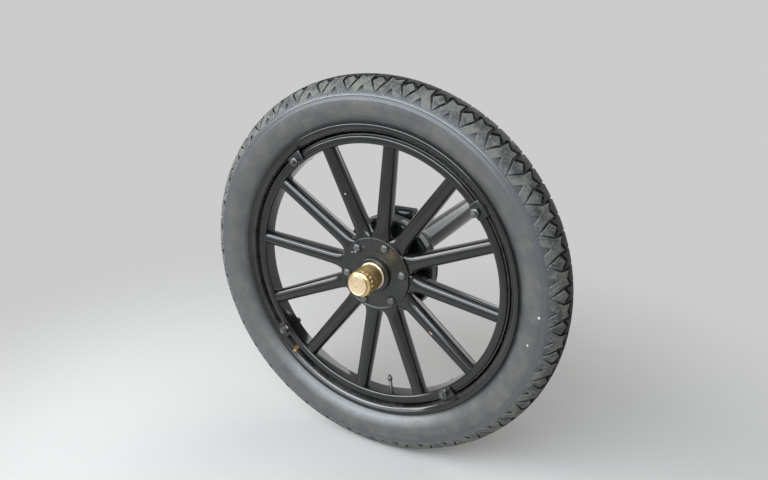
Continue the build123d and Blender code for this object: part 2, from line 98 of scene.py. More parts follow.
class WheelFinishSettings(bpy.types.PropertyGroup):
    paint: bpy.props.FloatVectorProperty(
        name="Paint", description="Gloss enamel on wood and steel",
        default=(0.0050, 0.0051, 0.0050), subtype="COLOR")
    axle_paint: bpy.props.FloatVectorProperty(
        name="Axle Paint", description="Duller paint on the axle and brake",
        default=(0.0110, 0.0125, 0.0128), subtype="COLOR")
    brass: bpy.props.FloatVectorProperty(
        name="Brass", description="Colour of the hub cap",
        default=(0.80, 0.56, 0.25), subtype="COLOR")
    rust: bpy.props.FloatVectorProperty(
        name="Rust", description="Where the paint is chipped",
        default=(0.28, 0.11, 0.04), subtype="COLOR")
    dust: bpy.props.FloatVectorProperty(
        name="Dust", description="Dust that lies on the paint",
        default=(0.19, 0.16, 0.125), subtype="COLOR")


class WheelStageSettings(bpy.types.PropertyGroup):
    azimuth: bpy.props.FloatProperty(
        name="Azimuth", description="Camera's angle round the wheel",
        default=radians(29.12), subtype="ANGLE")
    elevation: bpy.props.FloatProperty(
        name="Elevation", description="Camera's angle above the axle",
        default=radians(22.53), subtype="ANGLE")
    distance: bpy.props.FloatProperty(
        name="Distance", description="Camera to the wheel's centre",
        default=1.3875, unit="LENGTH")
    aim_right: bpy.props.FloatProperty(
        name="Aim Right", description="Aim to the right of the wheel's centre",
        default=0.0135, unit="LENGTH")
    aim_up: bpy.props.FloatProperty(
        name="Aim Up", description="Aim above the wheel's centre",
        default=0.0644, unit="LENGTH")
    floor: bpy.props.FloatVectorProperty(
        name="Floor", description="Colour of the floor",
        default=(0.615, 0.595, 0.565), subtype="COLOR")
    background: bpy.props.FloatVectorProperty(
        name="Background", description="Pale tone far from the wheel",
        default=(0.60, 0.602, 0.605), subtype="COLOR")


# Making pieces

def placed(name, data):
    """An object with this mesh, lamp or camera, put in the scene."""
    thing = bpy.data.objects.new(name, data)
    bpy.context.collection.objects.link(thing)
    return thing


def wheel_object(name, shape, node, slot, finishes=None, body="wheel", sharp=38.0):
    """Turn a shape in millimetres into a piece of the frame that stands for a CAD node.

    The finish has the slot's name, unless finishes names one for each number that the shape's faces carry."""
    bmesh.ops.recalc_face_normals(shape, faces=shape.faces)
    bmesh.ops.transform(shape, matrix=TO_FRAME, verts=shape.verts)
    mesh = bpy.data.meshes.new(name)
    shape.to_mesh(mesh)
    shape.free()
    for finish in finishes or [slot]:
        mesh.materials.append(finish_named(finish))
    mesh.shade_smooth()
    mesh.set_sharp_from_angle(angle=radians(sharp))
    piece = placed(name, mesh)
    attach(piece, body)
    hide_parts(node)


def whole(shape):
    """All of a shape's points, edges and faces."""
    return shape.verts[:] + shape.edges[:] + shape.faces[:]


def points(made):
    """The new points among what an extrusion made."""
    return [item for item in made["geom"] if isinstance(item, bmesh.types.BMVert)]


def ease(shape, parts, size, segments=2, affect="EDGES", material=-1):
    """Round edges or corners off, or chamfer them with one segment."""
    bmesh.ops.bevel(shape, geom=parts, offset=size, offset_type="OFFSET", segments=segments, profile=0.5,
                    affect=affect, material=material, clamp_overlap=True)


def edges_over(shape, angle):
    """The edges at which two faces meet at more than an angle in degrees."""
    return [edge for edge in shape.edges if edge.calc_face_angle(0.0) > radians(angle)]


def turn_by(shape, angle):
    """Turn a shape about Y by an angle in radians."""
    bmesh.ops.rotate(shape, verts=shape.verts, matrix=Matrix.Rotation(angle, 3, "Y"))


def turned(corners, steps=120, segments=4):
    """Spin (radius, y, rounding) corners about the axle, with each corner rounded off."""
    shape = bmesh.new()
    verts = [shape.verts.new((radius, y, 0.0)) for radius, y, rounding in corners]
    shape.faces.new(verts)
    for vert, (radius, y, rounding) in zip(verts, corners):
        if rounding > 0.0:
            ease(shape, [vert], rounding, segments, affect="VERTICES")
    bmesh.ops.delete(shape, geom=shape.faces[:], context="FACES_ONLY")
    on_axis = [edge for edge in shape.edges if all(vert.co.x < NEAR for vert in edge.verts)]
    bmesh.ops.delete(shape, geom=on_axis, context="EDGES")
    bmesh.ops.spin(shape, geom=shape.verts[:] + shape.edges[:], cent=(0, 0, 0), axis=(0, 1, 0),
                   angle=tau, steps=steps, use_merge=True)
    bmesh.ops.remove_doubles(shape, verts=shape.verts, dist=NEAR)
    return shape


def turned_pieces(rows):
    """Make turned pieces from rows of name, node, section, finish, body, steps and segments."""
    for name, node, section, finish, body, steps, segments in rows:
        wheel_object(name, turned(section, steps, segments), node, finish, body=body)


def hexagon(width, low, high, chamfer):
    """Six-sided nut along Y with its corners eased, width across its flats."""
    shape = bmesh.new()
    made = bmesh.ops.create_circle(shape, cap_ends=True, segments=6, radius=width / 2 / cos(pi / 6))
    bmesh.ops.rotate(shape, verts=made["verts"], matrix=Matrix.Rotation(pi / 2, 3, "X"))
    bmesh.ops.translate(shape, verts=made["verts"], vec=(0, low, 0))
    raised = bmesh.ops.extrude_face_region(shape, geom=shape.faces[:], use_keep_orig=True)
    bmesh.ops.translate(shape, verts=points(raised), vec=(0, high - low, 0))
    bmesh.ops.recalc_face_normals(shape, faces=shape.faces)
    ease(shape, shape.edges[:], chamfer)
    return shape


def bar(radius, low, high, easing):
    """Round bar along Y with eased ends."""
    return turned([(0, low, 0), (radius, low, easing), (radius, high, easing), (0, high, 0)], 32, 2)


def put(shape, radius, angle):
    """Move a shape out from the axle to a radius and an angle, with its local X pointing away from it."""
    place = Matrix.Rotation(-radians(angle), 4, "Y") @ Matrix.Translation((radius, 0.0, 0.0))
    bmesh.ops.transform(shape, matrix=place, verts=shape.verts)
    return shape


def join(shapes):
    """Put several shapes into one."""
    joined = bmesh.new()
    for shape in shapes:
        part = bpy.data.meshes.new("part")
        shape.to_mesh(part)
        shape.free()
        joined.from_mesh(part)
        bpy.data.meshes.remove(part)
    return joined


# Materials

def sum_node(operation, swapped=False):
    """A method that works one sum out in a Math node. It is swapped where a plain number comes first."""
    def method(self, other):
        sides = {0: other, 1: self} if swapped else {0: self, 1: other}
        return self.finish.add("ShaderNodeMath", {"operation": operation}, sides)
    return method


class Value:
    """A number that varies over a surface: the output of a node, used with the usual operators."""

    def __init__(self, finish, socket):
        self.finish = finish
        self.socket = socket

    __add__ = sum_node("ADD")
    __radd__ = sum_node("ADD", swapped=True)
    __sub__ = sum_node("SUBTRACT")
    __rsub__ = sum_node("SUBTRACT", swapped=True)
    __mul__ = sum_node("MULTIPLY")
    __truediv__ = sum_node("DIVIDE")
    __pow__ = sum_node("POWER")
    angle = sum_node("ARCTAN2")
    larger = sum_node("MAXIMUM")
    smaller = sum_node("MINIMUM")


def shaded(colour, share):
    """A colour made darker or lighter."""
    return tuple(part * share for part in colour)


class Nodes:
    """A node tree and the nodes that are added to it."""

    def __init__(self, tree):
        self.tree = tree

    def add(self, kind, settings=None, sockets=None, output=0):
        """Add one node: its settings first, then the values or links of its sockets.

        Gives the output named, or several if a tuple names them."""
        node = self.tree.nodes.new(kind)
        for key, value in (settings or {}).items():
            setattr(node, key, value)
        for key, value in (sockets or {}).items():
            if isinstance(value, Value):
                self.link(value, node.inputs[key])
            else:
                node.inputs[key].default_value = value
        if isinstance(output, tuple):
            return [Value(self, node.outputs[key]) for key in output]
        return Value(self, node.outputs[output])

    def link(self, value, socket):
        self.tree.links.new(value.socket, socket)

    def mix(self, share, first, second):
        """Mix two colours, each a value or an RGB."""
        first = first if isinstance(first, Value) else (*first, 1.0)
        second = second if isinstance(second, Value) else (*second, 1.0)
        return self.add("ShaderNodeMix", {"data_type": "RGBA"}, {0: share, 6: first, 7: second}, output=2)

    def between(self, value, low, high):
        """0 at low and 1 at high, with a soft step between. Either may be the larger number."""
        return self.add("ShaderNodeMapRange", {"interpolation_type": "SMOOTHSTEP"},
                        {"Value": value, "From Min": low, "From Max": high})

    def seen(self):
        """1 for the rays that show the background: straight to the camera, in a gloss or through glass."""
        rays = ("Is Camera Ray", "Is Glossy Ray", "Is Transmission Ray")
        camera, gloss, glass = self.add("ShaderNodeLightPath", output=rays)
        return (camera + gloss + glass).smaller(1.0)

    def axes(self, vector):
        """The three parts of a place."""
        return self.add("ShaderNodeSeparateXYZ", None, {0: vector}, output=(0, 1, 2))


class Finish(Nodes):
    """One material and the nodes that vary it. Object coordinates are in metres of the frame."""

    def __init__(self, name, **constants):
        self.material = bpy.data.materials.new(f"{name}_finish")
        self.material.use_nodes = True
        super().__init__(self.material.node_tree)
        self.shader = self.tree.nodes["Principled BSDF"]
        for socket, value in constants.items():
            self.shader.inputs[socket.replace("_", " ")].default_value = value
        self.place = self.add("ShaderNodeTexCoord", output="Object")
        self.centred = self.add("ShaderNodeMapping", {"vector_type": "POINT"},
                                {"Vector": self.place, "Location": tuple(-WHEEL_CENTRE)})

    def noise(self, scale, detail=3.0, roughness=0.55, where=None):
        sockets = {"Vector": where or self.place, "Scale": scale, "Detail": detail, "Roughness": roughness}
        return self.add("ShaderNodeTexNoise", {"noise_dimensions": "3D"}, sockets)

    def streaks(self, detail, roughness, x, y, z=0.0):
        """Noise that is drawn out, because each coordinate comes with its own scale."""
        where = self.add("ShaderNodeCombineXYZ", None, {0: x, 1: y, 2: z})
        return self.noise(1.0, detail, roughness, where)

    def cells(self, scale):
        return self.add("ShaderNodeTexVoronoi", {"feature": "F1"},
                        {"Vector": self.place, "Scale": scale}, output="Distance")

    def feed(self, socket, value):
        """Link a varying value to the shader."""
        self.link(value, self.shader.inputs[socket])

    def round_axle(self):
        """Distance from the axle and angle about it, in metres and turns."""
        x, y, z = self.axes(self.centred)
        radius = (x * x + z * z) ** 0.5
        return radius, y, z.angle(x) / tau

    def bump(self, height, depth, strength=0.5):
        """Feed a height in shares of a depth in metres to the shader's normal."""
        normal = self.add("ShaderNodeBump", None, {"Height": height, "Strength": strength, "Distance": depth})
        self.feed("Normal", normal)

    def facing_up(self):
        """1 where a surface faces up as the wheel stands at rest, 0 where it faces down."""
        normal = self.add("ShaderNodeTexCoord", output="Normal")
        return self.axes(normal)[2] * 0.5 + 0.5


RAGGED = 0.6


def marks(finish, spots):
    """1 on each of a few spots given as places round the wheel's centre and sizes, with ragged edges."""
    rough_edge = (finish.noise(420.0, 3.0, 0.6) - 0.5) * 2.0 * RAGGED
    found = None
    for at, size in spots:
        away = finish.add("ShaderNodeVectorMath", {"operation": "DISTANCE"},
                          {0: finish.centred, 1: at}, output="Value")
        spot = 1.0 - finish.between(away / size + rough_edge, 0.75, 1.0)
        found = found.larger(spot) if found else spot
    return found


# Zones of the tyre and the rim, as radii in metres between which each one sets in or ends
BEAD_ENDS = (0.3085, 0.3125)
WARM_SETS_IN = (0.3170, 0.3270)
WARM_ENDS = (0.3500, 0.3400)
COOL_BAND_SETS_IN = (0.3485, 0.3530)
SHOULDER_ENDS = (0.3640, 0.3765)
GROOVES_SET_IN = (0.3680, 0.3760)
RIM_CHANNEL = (0.2945, 0.2880)

# Zones along the cap and the bolt heads, as places in metres along Y between which each one ends or sets in
CAP_FACE_ENDS = (-0.0795, -0.0785)
CAP_BODY_SETS_IN = (-0.0645, -0.0600)
CAP_LIP_SETS_IN = (-0.0262, -0.0252)
BOLT_CROWN = (-0.0164, -0.0180)

# Chips and scuffs of the real wheel, as places round the wheel's centre in metres and sizes
RIM_CHIPS = [((-0.1956, -0.0180, -0.2127), 0.0060), ((-0.1959, -0.0257, -0.2168), 0.0048)]
SPOKE_CHIPS = [((0.1256, -0.0140, -0.0997), 0.0034), ((0.2040, -0.0200, 0.1680), 0.0030)]
SPOKE_NICKS = [((-0.0638, -0.0150, 0.1581), 0.0018), ((0.1290, -0.0140, -0.1020), 0.0016)]
HUB_CHIPS = [((-0.0512, -0.0135, 0.0380), 0.0020), ((-0.0360, -0.0135, 0.0500), 0.0016)]
HUB_NICKS = [((-0.0440, -0.0135, 0.0400), 0.0019), ((-0.0240, -0.0135, 0.0540), 0.0014)]
TYRE_SCUFFS = [((0.3462, -0.0470, -0.0005), 0.0026), ((0.3301, -0.0450, -0.0585), 0.0030)]


def side_wall_finish():
    """Old rubber of the side walls: bloom, wiped streaks, a warmer zone, a cooler band, and near-black groove
    floors between the tread blocks, which are painted shade.
    """
    rubber = bpy.context.scene.wheel_tyre.rubber
    finish = Finish("tyre_rubber", Specular_IOR_Level=0.9)
    radius, y, angle = finish.round_axle()
    cloud = finish.noise(7.0, 4.0, 0.6)
    mottle = finish.noise(34.0, 4.0, 0.6)
    wiped = finish.streaks(4.0, 0.62, radius * 30.0, y * 30.0, angle * 70.0)
    base = finish.mix(finish.between(cloud, 0.34, 0.66), shaded(rubber, 0.80), rubber)
    base = finish.mix(finish.between(wiped, 0.42, 0.72) * 0.55, base, (0.130, 0.126, 0.113))
    base = finish.mix(finish.between(mottle, 0.52, 0.70) * 0.30, base, (0.046, 0.048, 0.050))
    warm = finish.between(radius, *WARM_SETS_IN) * finish.between(radius, *WARM_ENDS)
    brown = finish.between(cloud * 0.5 + wiped * 0.5, 0.38, 0.60)
    base = finish.mix(warm * brown * 0.55, base, (0.086, 0.078, 0.065))
    band = finish.between(radius, *COOL_BAND_SETS_IN)
    base = finish.mix(band * 0.8, base, (0.060, 0.063, 0.070))
    lines = finish.between(finish.streaks(2.0, 0.5, radius * 900.0, 0.0, angle * 2.0), 0.50, 0.62)
    base = finish.mix(lines * 0.10, base, (0.18, 0.18, 0.18))
    # Darker at the bead, where the tyre meets the rim's lip: painted shade between the two parts.
    bead_shade = 1.0 - finish.between(radius, *BEAD_ENDS)
    base = finish.mix(bead_shade * 0.75, base, (0.016, 0.016, 0.017))
    # The carcass between the tread blocks is painted near-black: painted shade in the grooves.
    groove = finish.between(radius, *GROOVES_SET_IN)
    base = finish.mix(groove, base, (0.0075, 0.0075, 0.0075))
    speck = finish.between(finish.cells(150.0), 0.10, 0.05) * finish.between(finish.noise(17.0), 0.585, 0.64)
    base = finish.mix(speck * (1.0 - groove) * 0.55, base, (0.40, 0.40, 0.37))
    base = finish.mix(marks(finish, TYRE_SCUFFS) * 0.9, base, (0.62, 0.61, 0.58))
    finish.feed("Base Color", base)
    finish.feed("Roughness", 0.37 + (cloud - 0.5) * 0.18 + (wiped - 0.5) * 0.14 + groove * 0.35 - band * 0.06)
    grain = finish.noise(1100.0, 2.0, 0.6)
    finish.bump(grain * 0.35 + mottle * 0.9 + wiped * 0.5, 0.00022)
    return finish.material


def tread_finish(name, tone, side_tone, dusty, wear, gloss):
    """Rubber of the tread: tone is its clean colour toward the crown, darker there partly as painted shadow,
    as under a fender, and side_tone the one low on the shoulder, if any.

    dusty is the share of road dust and wear that of pale scratches."""
    finish = Finish(name, Specular_IOR_Level=gloss)
    radius, y, angle = finish.round_axle()
    patch = finish.noise(38.0, 5.0, 0.68)
    fine = finish.noise(240.0, 4.0, 0.7)
    base = finish.mix(finish.between(fine, 0.35, 0.7), tone, shaded(tone, 1.5))
    if side_tone:
        # Lighter low on the shoulder, darker toward the crown: the difference is partly painted shadow, as
        # under a fender.
        low = 1.0 - finish.between(radius, *SHOULDER_ENDS)
        base = finish.mix(low, base, side_tone)
    dust = finish.between(patch * 0.65 + fine * 0.35, 0.41, 0.57)
    base = finish.mix(dust * dusty, base, bpy.context.scene.wheel_tyre.road_dust)
    crumbs = finish.between(finish.cells(210.0), 0.13, 0.05) * finish.between(patch, 0.45, 0.60)
    base = finish.mix(crumbs * dusty * 0.5, base, (0.27, 0.255, 0.22))
    scratch = finish.between(finish.streaks(3.0, 0.6, radius * 90.0, y * 90.0, angle * 1500.0), 0.60, 0.70)
    base = finish.mix(scratch * wear, base, (0.36, 0.355, 0.33))
    finish.feed("Base Color", base)
    finish.feed("Roughness", 0.60 + (patch - 0.5) * 0.2 + dust * 0.12)
    finish.bump(fine + patch * 1.2 + scratch * 0.6, 0.00028)
    return finish.material


def paint_finish(name, gloss, dust_share, colour="paint", shade=1.0, chips=(), nicks=(), coat_rough=0.06,
                 coat_ior=1.58, wood=False, channel_dust_and_light=0.0, bare=0.0):
    """Brushed-on gloss enamel: soft waves, settled dust, chips through to rust and nicks through to primer.

    colour names a setting, which shade makes lighter. channel_dust_and_light is the share of a paler tone low
    in the rim's
    channel, beside the felloe: partly dust, partly painted light that lifts the channel's shade. bare is the
    share of bright steel on the crowns of the bolts."""
    looks = bpy.context.scene.wheel_finish
    tone = shaded(getattr(looks, colour), shade)
    finish = Finish(name, Specular_IOR_Level=0.05, Coat_Roughness=coat_rough, Coat_IOR=coat_ior)
    radius, y, angle = finish.round_axle()
    cloud = finish.noise(15.0, 4.0, 0.6)
    fine = finish.noise(170.0, 4.0, 0.65)
    base = finish.mix(finish.between(cloud, 0.35, 0.7), tone, shaded(tone, 1.6))
    settled = finish.between(fine * 0.5 + cloud * 0.5, 0.47, 0.64)
    dust = settled * finish.between(finish.facing_up(), 0.25, 0.95)
    base = finish.mix(dust * dust_share * 0.22, base, looks.dust)
    speck = finish.between(finish.cells(240.0), 0.11, 0.06) * finish.between(finish.noise(34.0), 0.57, 0.63)
    base = finish.mix(speck * 0.28, base, (0.34, 0.31, 0.27))
    # A paler tone low in the rim's channel: partly dust, partly painted light that lifts the shade of the
    # recess.
    if channel_dust_and_light:
        low = finish.between(radius, *RIM_CHANNEL) * finish.between(fine * 0.4 + cloud * 0.6, 0.30, 0.60)
        base = finish.mix(low * channel_dust_and_light, base, (0.085, 0.082, 0.075))
    chip = finish.between(finish.noise(58.0, 3.0, 0.6), 0.775, 0.79)
    if chips:
        chip = chip.larger(marks(finish, chips))
    rust = finish.mix(finish.between(finish.noise(380.0, 3.0), 0.4, 0.6), looks.rust, (0.55, 0.36, 0.17))
    base = finish.mix(chip, base, rust)
    if nicks:
        nick = marks(finish, nicks)
        base = finish.mix(nick, base, (0.58, 0.55, 0.50))
        chip = chip.larger(nick)
    if bare:
        crown = finish.between(y, *BOLT_CROWN) * finish.between(fine * 0.5 + cloud * 0.5, 0.36, 0.50) * bare
        base = finish.mix(crown, base, (0.36, 0.36, 0.35))
        finish.feed("Metallic", crown)
        chip = chip.larger(crown * 0.5)
    finish.feed("Base Color", base)
    rough = gloss + dust * 0.28 * dust_share + (fine - 0.5) * 0.06 + chip * 0.5
    finish.feed("Roughness", rough.larger(0.05))
    finish.feed("Coat Weight", ((1.0 - chip) * 0.97 - dust * 0.5 * dust_share).larger(0.0))
    if wood:
        waves = finish.streaks(3.0, 0.5, radius * 9.0, y * 110.0, angle * 160.0)
    else:
        waves = finish.noise(38.0, 2.0, 0.5)
    finish.bump(waves + fine * 0.025 - chip * 0.8, 0.00014)
    return finish.material


def brass_finish():
    """Polished brass: a brushed end face, turned lines and patches of warm tarnish."""
    finish = Finish("cap_brass", Metallic=1.0)
    radius, y, angle = finish.round_axle()
    tarnish = finish.between(finish.noise(45.0, 4.0, 0.6), 0.45, 0.68)
    face = 1.0 - finish.between(y, *CAP_FACE_ENDS)
    body = finish.between(y, *CAP_BODY_SETS_IN)
    lip = finish.between(y, *CAP_LIP_SETS_IN)
    base = finish.mix(tarnish * 0.35, bpy.context.scene.wheel_finish.brass, (0.52, 0.34, 0.13))
    base = finish.mix(body * 0.35, base, (0.62, 0.44, 0.18))
    # The lip's pale, near-silver colour is painted reflection, as of the sky on its edge.
    base = finish.mix(lip * 0.8, base, (0.80, 0.76, 0.68))
    base = finish.mix(face * 0.75, base, (0.82, 0.68, 0.50))
    brushed = finish.streaks(3.0, 0.7, radius * 1500.0, angle * 4.0)
    along = finish.streaks(3.0, 0.6, y * 60.0, angle * 160.0)
    worn = finish.between(finish.noise(190.0, 4.0, 0.65), 0.48, 0.66)
    base = finish.mix(worn * (face * 0.45 + 0.12), base, (0.48, 0.35, 0.22))
    finish.feed("Base Color", base)
    finish.feed("Roughness", 0.20 + face * 0.24 + tarnish * 0.12 + (along - 0.5) * 0.06 + body * 0.20)
    finish.bump(brushed * face + along * 0.10 + worn * 0.12, 0.00004, 0.4)
    return finish.material


def steel_finish(name, colour, rough, grime):
    """Bare steel with grime and small rust stains."""
    finish = Finish(name, Metallic=1.0)
    cloud = finish.noise(55.0, 4.0, 0.6)
    stain = finish.between(cloud, 0.50, 0.72) * grime
    base = finish.mix(stain, colour, (0.10, 0.075, 0.055))
    finish.feed("Base Color", base)
    finish.feed("Roughness", rough + stain * 0.35 + (finish.noise(400.0) - 0.5) * 0.15)
    finish.bump(finish.noise(500.0, 3.0), 0.0001)
    return finish.material


# Tread rubbers. Columns: clean colour toward the crown, colour low on the shoulder, share of dust, share of
# scratches, gloss
TREAD_LOOKS = {
    # The blocks are darker toward the crown than on the shoulder: painted shadow, as under a fender.
    "tread_rubber": ((0.040, 0.0415, 0.043), (0.064, 0.067, 0.073), 0.85, 0.55, 0.35),
    # The edges' paler colour is partly wear and partly painted highlight on the chamfers.
    "tread_edges": ((0.120, 0.118, 0.110), (0.190, 0.192, 0.190), 0.60, 1.0, 0.35),
    # The groove walls are near-black toward the crown: painted shade in the grooves.
    "tread_grooves": ((0.0075, 0.0075, 0.008), (0.050, 0.053, 0.060), 0.05, 0.05, 0.35),
    # The crown's near-black rubber is worn rubber made darker still by painted shadow, as under a fender.
    "crown_rubber": ((0.0055, 0.0055, 0.0058), None, 0.04, 0.12, 0.04),
    # The crown's edges are darker than the shoulder's as painted shadow, and paler than the crown as wear and
    # painted highlight.
    "crown_edges": ((0.014, 0.0138, 0.0136), None, 0.14, 0.35, 0.08),
}
# Paints, as what paint_finish is told
PAINT_LOOKS = {
    "rim_paint": dict(gloss=0.16, dust_share=0.45, chips=RIM_CHIPS, channel_dust_and_light=0.6),
    "painted_wood": dict(gloss=0.20, dust_share=0.35, chips=SPOKE_CHIPS, nicks=SPOKE_NICKS, wood=True),
    "hub_paint": dict(gloss=0.30, dust_share=0.9, shade=1.8, chips=HUB_CHIPS, nicks=HUB_NICKS,
                      coat_rough=0.26),
    "bolt_paint": dict(gloss=0.30, dust_share=0.6, shade=5.0, coat_rough=0.13, bare=0.20),
    "lug_paint": dict(gloss=0.30, dust_share=0.6, shade=2.0, coat_rough=0.16),
    "drum_paint": dict(gloss=0.30, dust_share=0.40, colour="axle_paint", coat_ior=1.35),
    "axle_paint": dict(gloss=0.24, dust_share=0.40, colour="axle_paint", coat_ior=1.35),
}
# Steels. Columns: colour, roughness, share of grime
STEEL_LOOKS = {
    "nut_steel": ((0.15, 0.148, 0.142), 0.28, 0.55),
    "valve_metal": ((0.15, 0.15, 0.145), 0.45, 0.5),
    "shaft_steel": ((0.48, 0.47, 0.45), 0.28, 0.35),
}


def finish_named(name):
    """Each finish of the wheel is made once, when a piece first asks for it."""
    made = bpy.data.materials.get(f"{name}_finish")
    if made:
        return made
    if name in TREAD_LOOKS:
        return tread_finish(name, *TREAD_LOOKS[name])
    if name in PAINT_LOOKS:
        return paint_finish(name, **PAINT_LOOKS[name])
    if name in STEEL_LOOKS:
        return steel_finish(name, *STEEL_LOOKS[name])
    return {"tyre_rubber": side_wall_finish, "cap_brass": brass_finish}[name]()


# Tyre

# Outside of the tyre. Columns: distance from the crown along the surface, radius, y
TYRE_OUTSIDE = [
    (0.0, 391.0, 0.0), (9.0, 390.2, 9.0), (18.0, 388.1, 17.4), (27.0, 384.4, 25.3), (35.0, 379.6, 31.8),
    (43.0, 373.8, 37.4), (51.0, 367.1, 41.8), (60.0, 358.9, 45.4), (70.0, 349.2, 47.4), (80.0, 339.3, 47.4),
    (90.0, 329.5, 45.3), (100.0, 320.6, 41.0), (110.0, 312.8, 34.9), (117.0, 308.2, 30.0),
]

# Carcass under the tread blocks. Columns: distance from the crown, share of the grooves' depth
GROOVED = [
    (0.0, 1.0), (9.0, 1.0), (18.0, 1.0), (27.0, 1.0), (35.0, 0.95),
    (41.0, 0.80), (46.0, 0.58), (50.0, 0.38), (53.5, 0.18), (56.0, 0.05),
]

# Moulded lines of the side wall. Columns: distance from the crown, height above the outside in mm
MOULDED = [
    (57.2, 0.05), (57.8, 0.35), (58.6, 0.35), (59.2, 0.0), (60.6, 0.0), (61.2, 0.28), (62.0, 0.28),
    (62.6, 0.0), (66.0, 0.0), (69.0, 0.0), (70.0, 0.12), (71.0, 0.12), (72.0, 0.0),
]
PLAIN_WALL = (75.0, 80.0, 85.0, 90.0, 95.0, 100.0, 105.0, 110.0, 114.0, 117.0)

# Bead and inside of the casing, closing the section. Columns: radius, y
CASING_INSIDE = [
    (303.0, 27.4), (299.0, 27.4), (293.0, 19.5), (292.5, 17.0), (292.5, 7.5), (304.5, 10.5),
    (325.0, 30.0), (345.0, 36.5), (364.0, 30.0), (374.0, 16.0), (377.0, 0.0),
]


def mirrored(right):
    """A line from side to side, made from its right half, which starts in the middle."""
    return [(-u, t) for u, t in right[:0:-1]] + right


# Tread blocks, drawn flat. Columns: mm round the tyre, mm from the crown. Cuts across and round the tyre let
# the blocks bend.
KITE_BLOCK = [(0.0, 53.0), (-12.3, 29.0), (0.0, 15.5), (12.3, 29.0)]
KITE_CUTS = ((22.0, 29.0, 38.0, 46.0), (0.0,))
ARROW_BLOCK = mirrored([(0.0, 19.0), (12.7, 10.0), (13.0, 29.0), (28.5, 54.0), (28.7, 56.6)])
ARROW_BLOCK += mirrored([(0.0, 41.0), (8.5, 54.0), (10.2, 56.6)])[::-1]
ARROW_CUTS = ((19.0, 29.0, 36.0, 41.0, 48.0), (-13.0, 0.0, 13.0))
# The rib's lower edge is its upper one mirrored, and half a pitch further round.
RIB_END = 30.7
RIB_UPPER = [(0.0, 9.2), (13.6, 21.8), (13.4, 5.4), (17.2, 3.9), (RIB_END, 13.2)]
RIB_LOWER = [(RIB_END - u, -t) for u, t in reversed(RIB_UPPER)]
RIB_BLOCK = mirrored(RIB_UPPER) + mirrored(RIB_LOWER)[::-1]
RIB_CUTS = ((-16.0, -8.0, 0.0, 8.0, 16.0), (-15.0, 0.0, 15.0))
# The first kite's angle in degrees, and how far in mm the blocks reach into the carcass
FIRST_KITE = 5.9
BLOCK_ROOT = 0.6
WELD = 0.01
ROUND_STEPS = 180
BLOCK_FINISHES = ["tread_rubber", "tread_edges", "tread_grooves"]
RIB_FINISHES = ["crown_rubber", "crown_edges", "tread_grooves"]


def tyre_outside(distance):
    """Radius, y and outward direction at a distance from the crown, on a smooth curve through the rows."""
    beyond, radius, y = TYRE_OUTSIDE[1]
    rows = [(-beyond, radius, -y)] + TYRE_OUTSIDE
    index = 1
    while distance > rows[index + 1][0] and index < len(rows) - 2:
        index += 1
    before, start, end = rows[index - 1:index + 2]
    after = rows[min(index + 2, len(rows) - 1)]
    span = end[0] - start[0]
    s = (distance - start[0]) / span
    places = []
    slopes = []
    for column in (1, 2):
        a, b = start[column], end[column]
        slope_a = (b - before[column]) / (end[0] - before[0])
        slope_b = (after[column] - a) / (after[0] - start[0])
        places.append((2 * s ** 3 - 3 * s ** 2 + 1) * a + (s ** 3 - 2 * s ** 2 + s) * span * slope_a
                      + (3 * s ** 2 - 2 * s ** 3) * b + (s ** 3 - s ** 2) * span * slope_b)
        slopes.append((6 * s ** 2 - 6 * s) * (a - b) / span + (3 * s ** 2 - 4 * s + 1) * slope_a
                      + (3 * s ** 2 - 2 * s) * slope_b)
    outward = Vector((slopes[1], -slopes[0])).normalized()
    return places[0], places[1], outward


def bend_onto_tyre(shape, depth):
    """Bend a flat tread shape (round the tyre, from the crown, height) onto the tyre, outer side at -Y."""
    for vert in shape.verts:
        around, across, height = vert.co
        radius, y, outward = tyre_outside(abs(across))
        side = 1.0 if across >= 0.0 else -1.0
        lift = height - depth
        radius += outward.x * lift
        y = side * (y + outward.y * lift)
        angle = around / TYRE_RADIUS
        vert.co = (radius * cos(angle), -y, radius * sin(angle))


def tread_shape(outline, depth, chamfer, cuts_across, cuts_round, open_end=None):
    """A tread block or rib drawn flat, raised by a depth, chamfered and cut so that it can bend.

    Its faces take three finishes: 0 on top, 1 on the worn edges, painted paler partly as highlight, and 2 on
    the walls of the grooves, painted near-black as shade. A rib has no wall at the ends where it meets the
    next one, open_end away from its middle."""
    def at_end(part):
        return open_end is not None and all(abs(abs(vert.co.x) - open_end) < NEAR for vert in part.verts)

    shape = bmesh.new()
    face = shape.faces.new([shape.verts.new((u, t, 0.0)) for u, t in outline])
    raised = bmesh.ops.extrude_face_region(shape, geom=[face], use_keep_orig=True)
    bmesh.ops.translate(shape, verts=points(raised), vec=(0, 0, depth))
    bmesh.ops.delete(shape, geom=[wall for wall in shape.faces if at_end(wall)], context="FACES")
    bmesh.ops.recalc_face_normals(shape, faces=shape.faces)
    shape.normal_update()
    for wall in shape.faces:
        wall.material_index = 0 if wall.normal.z > 0.5 else 2
    rim = [edge for edge in shape.edges
           if all(vert.co.z > depth - NEAR for vert in edge.verts) and not at_end(edge)]
    ease(shape, rim, chamfer, segments=1, material=1)
    bmesh.ops.triangulate(shape, faces=[flat for flat in shape.faces if len(flat.verts) > 4])
    cuts = [((0, cut, 0), (0, 1, 0)) for cut in cuts_across]
    cuts += [((cut, 0, 0), (1, 0, 0)) for cut in cuts_round]
    for place, direction in cuts:
        bmesh.ops.bisect_plane(shape, geom=whole(shape), dist=NEAR, plane_co=place, plane_no=direction)
    return shape


def repeat_round(shape, count):
    """Copies of a shape, evenly round the axle."""
    bmesh.ops.spin(shape, geom=whole(shape), cent=(0, 0, 0), axis=(0, 1, 0),
                   angle=-tau * (count - 1) / count, steps=count - 1, use_duplicate=True)


